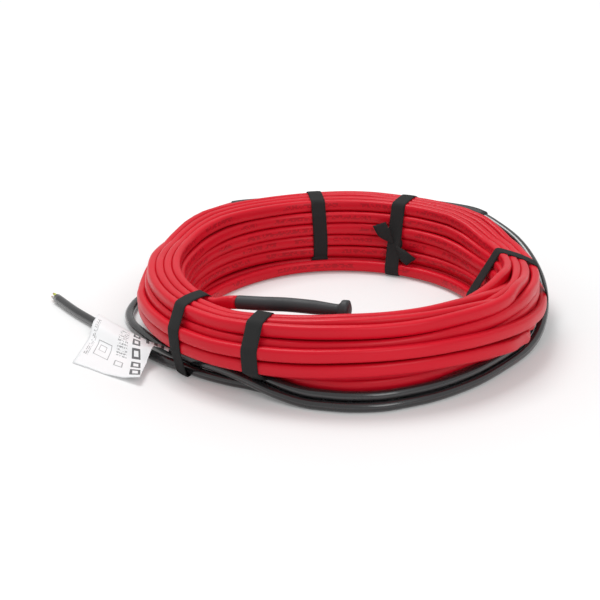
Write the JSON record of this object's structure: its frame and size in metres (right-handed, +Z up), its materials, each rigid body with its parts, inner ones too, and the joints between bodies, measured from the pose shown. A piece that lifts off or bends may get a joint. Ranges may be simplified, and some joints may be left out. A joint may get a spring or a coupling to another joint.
{
  "type": "heating cable coil",
  "caption": "Coil of flat red heating cable tied with black tape, with an end seal, a splice sleeve, a round black cold lead and a blank flag label.",
  "frame": {"origin": "on the coil's axis, at the floor it lies on", "axes": "+Z up along the coil's axis, +X to the right and +Y away from the side with the end seal"},
  "size_m": [0.2929, 0.2332, 0.0466],
  "materials": {
    "red_sheath": "smooth extruded red sheath, soft gloss",
    "black_sheath": "smooth extruded black sheath, soft gloss",
    "shrink_tube": "matt black shrink tube",
    "woven_tape": "woven black tape",
    "white_film": "satin white label film",
    "core_green_yellow": "smooth core sheath",
    "core_grey": "smooth core sheath",
    "core_brown": "smooth core sheath"
  },
  "bodies": {
    "root": {"heating_cable_coil": "red_sheath", "heating_cable_loose_turn": "red_sheath", "heating_cable_outer_turn": "red_sheath", "heating_cable_inner_end": "red_sheath", "end_seal": "shrink_tube", "splice_sleeve": "shrink_tube", "cold_lead_start": "black_sheath", "cold_lead_coil": "black_sheath", "cold_lead_free_end": "black_sheath", "core_earth": "core_green_yellow", "core_neutral": "core_grey", "core_live": "core_brown", "label": "white_film", "tie_front_left": "woven_tape", "tie_front": "woven_tape", "tie_back_left": "woven_tape", "tie_right": "woven_tape", "tie_back_knotted": "woven_tape"}
  },
  "joints": []
}
